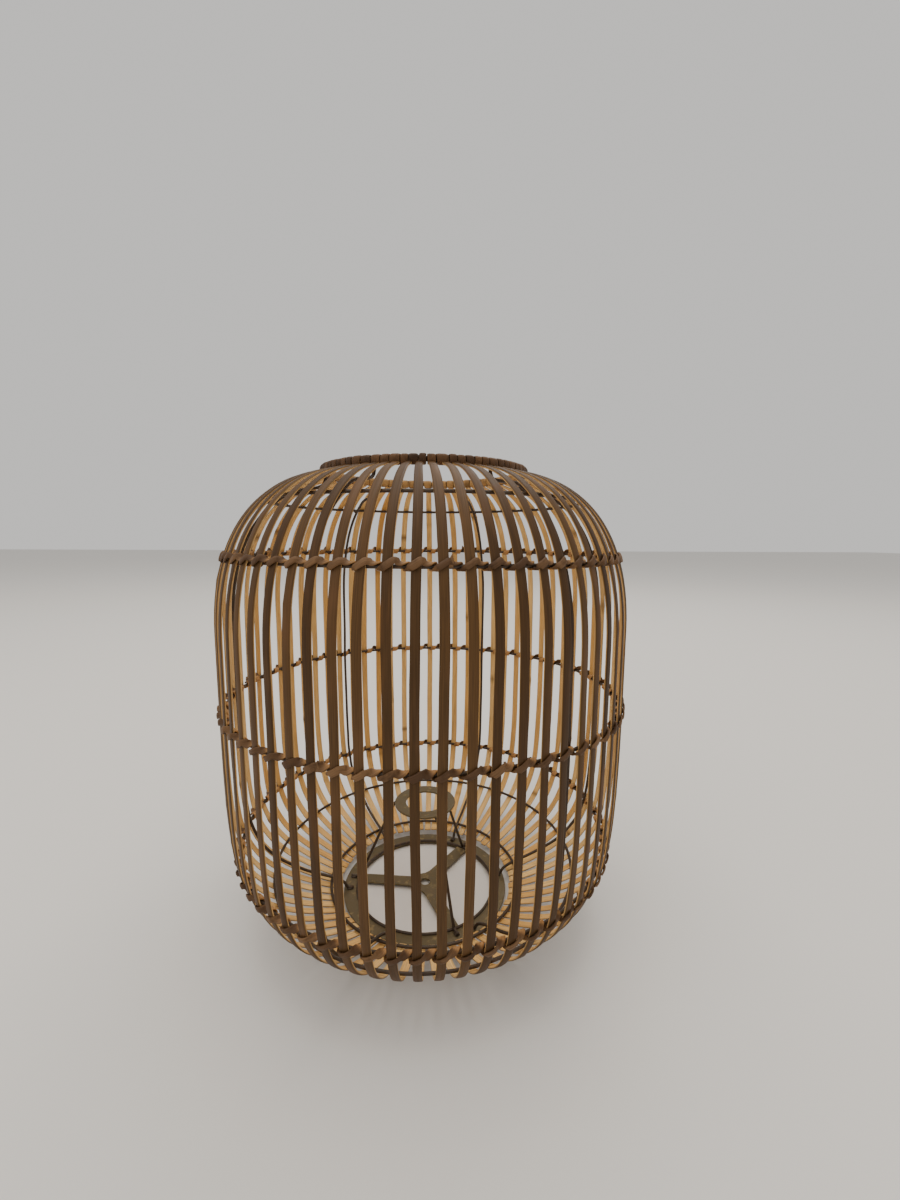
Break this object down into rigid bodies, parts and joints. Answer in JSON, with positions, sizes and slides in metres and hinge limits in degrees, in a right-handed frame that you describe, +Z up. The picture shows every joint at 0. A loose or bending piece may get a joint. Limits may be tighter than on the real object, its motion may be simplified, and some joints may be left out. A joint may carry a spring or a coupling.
{
  "type": "bamboo lantern lamp shade",
  "caption": "Barrel-shaped lamp shade of upright bamboo slats folded over a rim hoop, lashed with cane to a wire frame, with a spoked carrier and a raised lampholder ring.",
  "frame": {"origin": "on the shade's axis, at the height of the carrier ring's lowest face", "axes": "+Z up along the shade's axis, -Y towards the viewer of the picture, +X to the right"},
  "size_m": [0.3984, 0.3981, 0.4484],
  "materials": {
    "bamboo_slat": "satin split bamboo, brown on the skin side outside and honey coloured inside",
    "cane_binding": "satin brown cane",
    "frame_wire": "satin black paint",
    "carrier_metal": "satin olive brown paint"
  },
  "bodies": {
    "root": {"slat_pair_01": "bamboo_slat", "slat_pair_02": "bamboo_slat", "slat_pair_03": "bamboo_slat", "slat_pair_04": "bamboo_slat", "slat_pair_05": "bamboo_slat", "slat_pair_06": "bamboo_slat", "slat_pair_07": "bamboo_slat", "slat_pair_08": "bamboo_slat", "slat_pair_09": "bamboo_slat", "slat_pair_10": "bamboo_slat", "slat_pair_11": "bamboo_slat", "slat_pair_12": "bamboo_slat", "slat_pair_13": "bamboo_slat", "slat_pair_14": "bamboo_slat", "slat_pair_15": "bamboo_slat", "slat_pair_16": "bamboo_slat", "slat_pair_17": "bamboo_slat", "slat_pair_18": "bamboo_slat", "slat_pair_19": "bamboo_slat", "slat_pair_20": "bamboo_slat", "slat_pair_21": "bamboo_slat", "slat_pair_22": "bamboo_slat", "slat_pair_23": "bamboo_slat", "slat_pair_24": "bamboo_slat", "slat_pair_25": "bamboo_slat", "slat_pair_26": "bamboo_slat", "slat_pair_27": "bamboo_slat", "slat_pair_28": "bamboo_slat", "slat_pair_29": "bamboo_slat", "slat_pair_30": "bamboo_slat", "slat_pair_31": "bamboo_slat", "slat_pair_32": "bamboo_slat", "slat_pair_33": "bamboo_slat", "rim_hoop": "cane_binding", "upper_row_lashing": "cane_binding", "middle_row_lashing": "cane_binding", "lower_row_lashing": "cane_binding", "upper_row_wire_ring": "frame_wire", "middle_row_wire_ring": "frame_wire", "lower_row_wire_ring": "frame_wire", "shoulder_wire_ring": "frame_wire", "bottom_wire_ring": "frame_wire", "mouth_wire_ring": "frame_wire", "frame_upright_1": "frame_wire", "frame_upright_2": "frame_wire", "frame_upright_3": "frame_wire", "frame_upright_4": "frame_wire", "frame_upright_5": "frame_wire", "frame_upright_6": "frame_wire", "fitter_arm_1": "frame_wire", "fitter_arm_2": "frame_wire", "fitter_arm_3": "frame_wire", "carrier_ring": "carrier_metal", "carrier_spoke_plate": "carrier_metal", "fitter_ring": "carrier_metal"}
  },
  "joints": []
}
